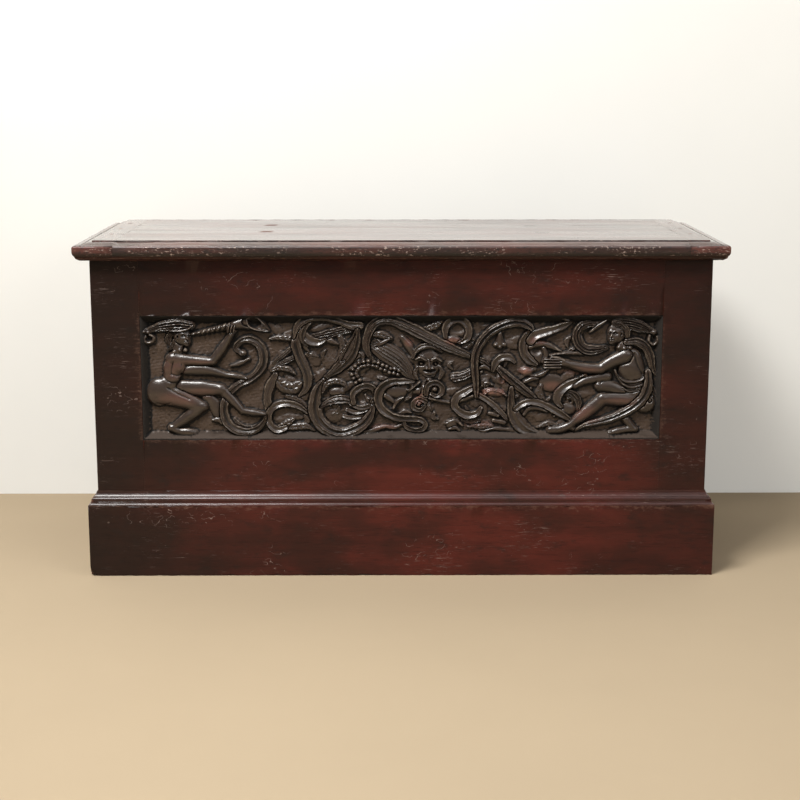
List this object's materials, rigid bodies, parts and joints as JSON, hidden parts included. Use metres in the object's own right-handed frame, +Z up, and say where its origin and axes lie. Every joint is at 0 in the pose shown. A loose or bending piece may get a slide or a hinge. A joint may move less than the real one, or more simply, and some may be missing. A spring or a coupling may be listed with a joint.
{
  "type": "carved chest",
  "caption": "Dark walnut chest with a carved front panel of scrolls and figures in a plain frame, a moulded plinth and a hinged lid with cross ends.",
  "frame": {"origin": "on the floor, at the bottom centre of the closed chest's box", "axes": "+X along the chest's length, to the right of someone who faces the carved front; +Y from the front to the back; +Z up"},
  "size_m": [1.232, 0.4794, 0.652],
  "materials": {
    "frame": "waxed dark walnut, scratched",
    "carving": "waxed dark walnut, worn on the high points",
    "carcass": "dark oiled walnut",
    "inner_boards": "bare aged softwood",
    "plinth": "waxed walnut",
    "lid": "polished walnut",
    "pegs": "dark end grain",
    "hinges": "blackened iron",
    "hinge_pins": "worn iron",
    "screws": "slotted steel",
    "nails": "rose-head iron"
  },
  "bodies": {
    "chest": {"front_top_rail": "frame", "front_bottom_rail": "frame", "front_left_stile": "frame", "front_right_stile": "frame", "carved_panel": "carving", "left_side_front_board": "carcass", "left_side_back_board": "carcass", "right_side_front_board": "carcass", "right_side_back_board": "carcass", "back_lower_board": "carcass", "back_middle_board": "carcass", "back_upper_board": "carcass", "floor_board_front": "inner_boards", "floor_board_middle": "inner_boards", "floor_board_back": "inner_boards", "floor_bearer_front": "inner_boards", "floor_bearer_back": "inner_boards", "floor_bearer_left": "inner_boards", "floor_bearer_right": "inner_boards", "corner_blocks": "inner_boards", "plinth_front": "plinth", "plinth_left": "plinth", "plinth_right": "plinth", "cap_moulding_front": "plinth", "cap_moulding_left": "plinth", "cap_moulding_right": "plinth", "left_hinge_body_leaf": "hinges", "right_hinge_body_leaf": "hinges", "left_hinge_pin": "hinge_pins", "right_hinge_pin": "hinge_pins", "hinge_body_screws": "screws", "back_nails": "nails"},
    "lid": {"lid_front_board": "lid", "lid_middle_board": "lid", "lid_back_board": "lid", "lid_left_end": "lid", "lid_right_end": "lid", "lid_lip_front": "lid", "lid_lip_left": "lid", "lid_lip_right": "lid", "lid_end_pegs": "pegs", "left_hinge_lid_leaf": "hinges", "right_hinge_lid_leaf": "hinges", "hinge_lid_screws": "screws"}
  },
  "joints": [
    {"name": "lid_hinge", "type": "hinge", "parent": "chest", "child": "lid", "pos_m": [0, 0.23525, 0.625], "axis": [-1, 0, 0], "range_deg": [0, 100]}
  ]
}
